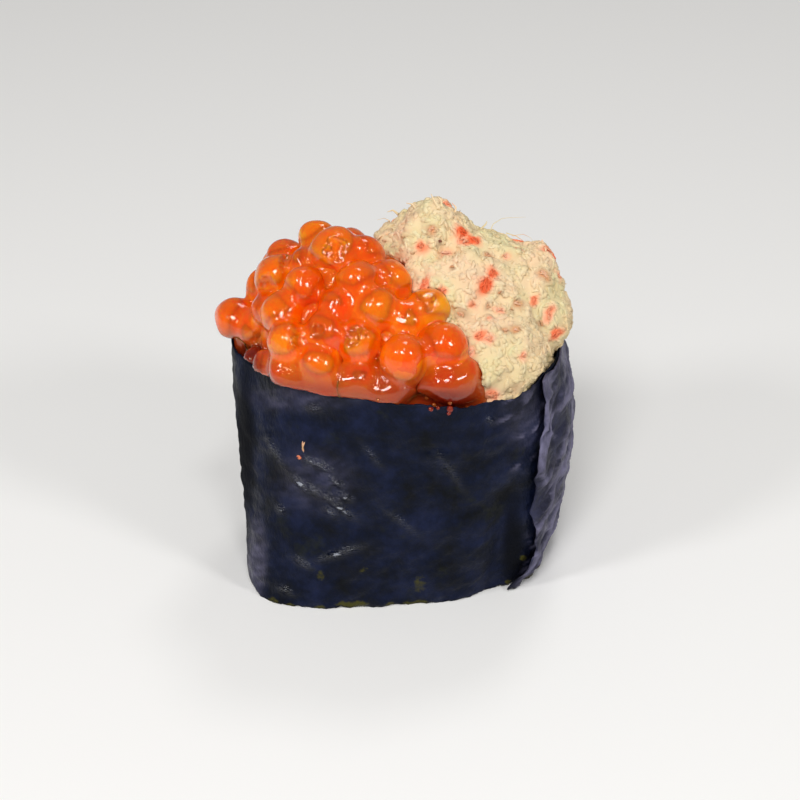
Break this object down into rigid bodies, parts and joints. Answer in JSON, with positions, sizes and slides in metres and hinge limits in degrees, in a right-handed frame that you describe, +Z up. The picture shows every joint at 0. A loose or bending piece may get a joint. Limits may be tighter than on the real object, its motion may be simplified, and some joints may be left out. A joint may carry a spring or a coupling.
{
  "type": "gunkan sushi",
  "caption": "Gunkan sushi: a block of pressed rice wrapped in a tall strip of nori and heaped with salmon roe at one end and flaked crab at the other.",
  "frame": {"origin": "on the table, under the middle of the whole piece's bounding box", "axes": "+Z up, +X along the length towards the crab end, -Y the front, where the roe spills along the rim"},
  "size_m": [0.0498, 0.0364, 0.0534],
  "materials": {
    "nori": "damp pressed seaweed sheet, near black with a blue-purple cast, fine crinkles and small wet glints",
    "rice": "sticky seasoned short-grain rice, off-white, slightly translucent and satin",
    "salmon_roe": "wet translucent orange eggs with a glossy skin, some of them amber",
    "crab_meat": "moist shredded crab, cream with orange-red flecks"
  },
  "bodies": {
    "root": {"nori": "nori", "rice": "rice", "salmon_roe": "salmon_roe", "crab_meat": "crab_meat"}
  },
  "joints": []
}
